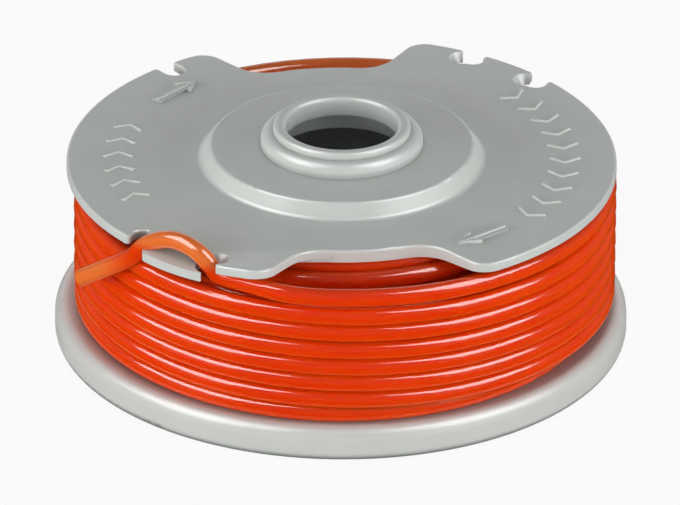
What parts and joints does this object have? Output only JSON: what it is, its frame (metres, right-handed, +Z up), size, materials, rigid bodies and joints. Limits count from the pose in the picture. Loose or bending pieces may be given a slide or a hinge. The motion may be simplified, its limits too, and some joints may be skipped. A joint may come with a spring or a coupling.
{
  "type": "trimmer line spool",
  "caption": "Moulded spool with a winged upper flange, stepped collar and central bore, wound with round nylon trimmer line whose free end is threaded through edge notches.",
  "frame": {"origin": "the centre of the lower flange's foot, on the surface that the spool stands on", "axes": "+Z up along the bore, -Y towards the recess beside the threaded notches, +X to the right of it"},
  "size_m": [0.051, 0.051, 0.0204],
  "materials": {
    "spool_plastic": "satin moulded",
    "trimmer_line": "glossy extruded"
  },
  "bodies": {
    "root": {"spool_body": "spool_plastic", "line_winding": "trimmer_line", "line_end": "trimmer_line"}
  },
  "joints": []
}
